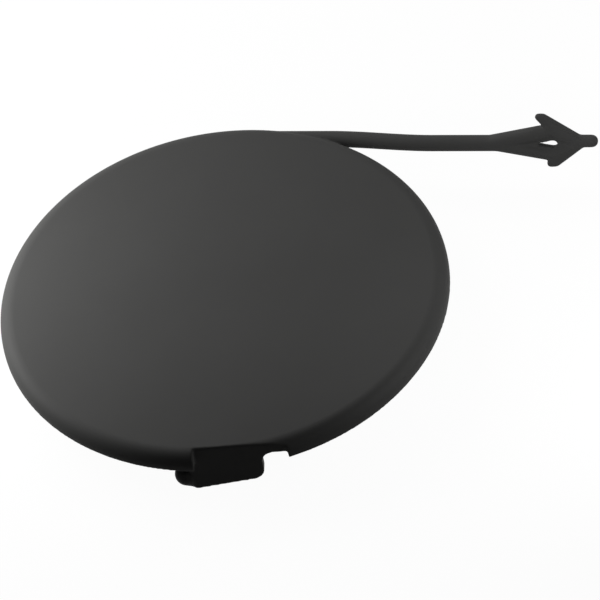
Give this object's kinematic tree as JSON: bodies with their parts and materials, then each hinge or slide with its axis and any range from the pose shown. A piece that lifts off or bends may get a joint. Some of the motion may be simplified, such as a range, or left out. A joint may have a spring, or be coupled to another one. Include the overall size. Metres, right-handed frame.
{
  "type": "tow hook cover",
  "caption": "Round snap-in cover for a towing eye opening, with a latch tab, hooks, a locating collar and a moulded tether ending in a barbed anchor.",
  "frame": {"origin": "centre of the disc in the plane of the rim's lower edge, which seats on the bumper", "axes": "+Z out of the bumper along the disc's axis, +X along the tether, -Y towards the latch tab"},
  "size_m": [0.0872, 0.068, 0.012],
  "materials": {
    "moulded_plastic": "satin unpainted black polypropylene, smooth outer face"
  },
  "bodies": {
    "root": {"tow_hook_cover": "moulded_plastic"}
  },
  "joints": []
}
